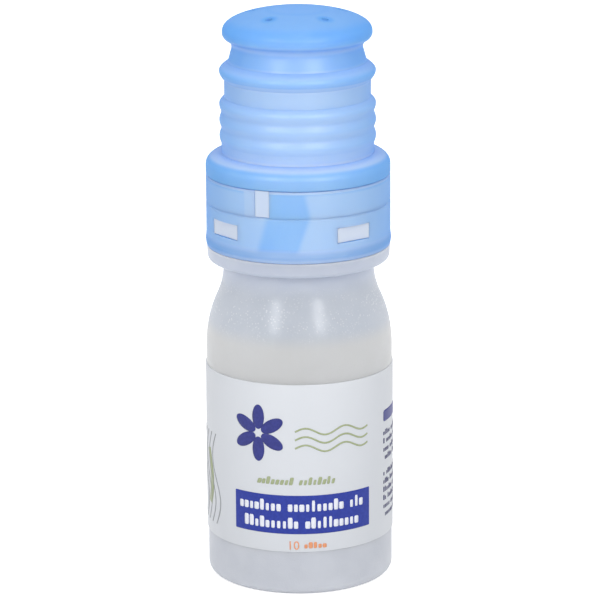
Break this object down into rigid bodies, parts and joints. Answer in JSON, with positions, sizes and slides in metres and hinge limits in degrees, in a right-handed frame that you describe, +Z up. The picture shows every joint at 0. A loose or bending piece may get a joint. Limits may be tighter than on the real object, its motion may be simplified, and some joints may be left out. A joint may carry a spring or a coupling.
{
  "type": "eye drop bottle",
  "caption": "Squeeze bottle with a valved dropper, a snap collar with tamper band and a pull-off ribbed cap, for preservative-free eye drops.",
  "frame": {"origin": "centre of the base, on the surface that the bottle stands on", "axes": "+Z up along the bottle's axis, -Y out of the front of the label, +X to the right as the label is read"},
  "size_m": [0.024, 0.024, 0.0736],
  "materials": {
    "frosted_bottle": "frosted, translucent low-density polyethylene",
    "label_film": "satin printed film",
    "blue_closure": "satin, translucent moulded polypropylene",
    "white_housing": "satin moulded polypropylene",
    "soft_seal": "soft silicone",
    "filter_membrane": "matt porous membrane",
    "spring_steel": "drawn wire"
  },
  "bodies": {
    "bottle": {"bottle": "frosted_bottle", "label": "label_film", "snap_collar": "blue_closure", "tamper_band": "blue_closure", "lock_ring": "white_housing", "nozzle_housing": "white_housing", "neck_seal": "soft_seal", "filter_carrier": "white_housing", "vent_filter": "filter_membrane", "filter_clamp_ring": "white_housing", "spring_seat": "white_housing", "nozzle_tip": "white_housing", "valve_spring": "spring_steel"},
    "cap": {"cap_shell": "blue_closure", "cap_seal": "soft_seal"},
    "valve": {"valve_pin": "white_housing", "tip_seal": "soft_seal"}
  },
  "joints": [
    {"name": "cap_pull", "type": "slide", "parent": "bottle", "child": "cap", "axis": [0, 0, 1], "range_m": [0, 0.02]},
    {"name": "valve_travel", "type": "slide", "parent": "bottle", "child": "valve", "axis": [0, 0, -1], "range_m": [0, 0.0005], "stiffness_N_per_m": 200, "springref_m": -0.0005, "deforming": ["valve_spring"]}
  ]
}
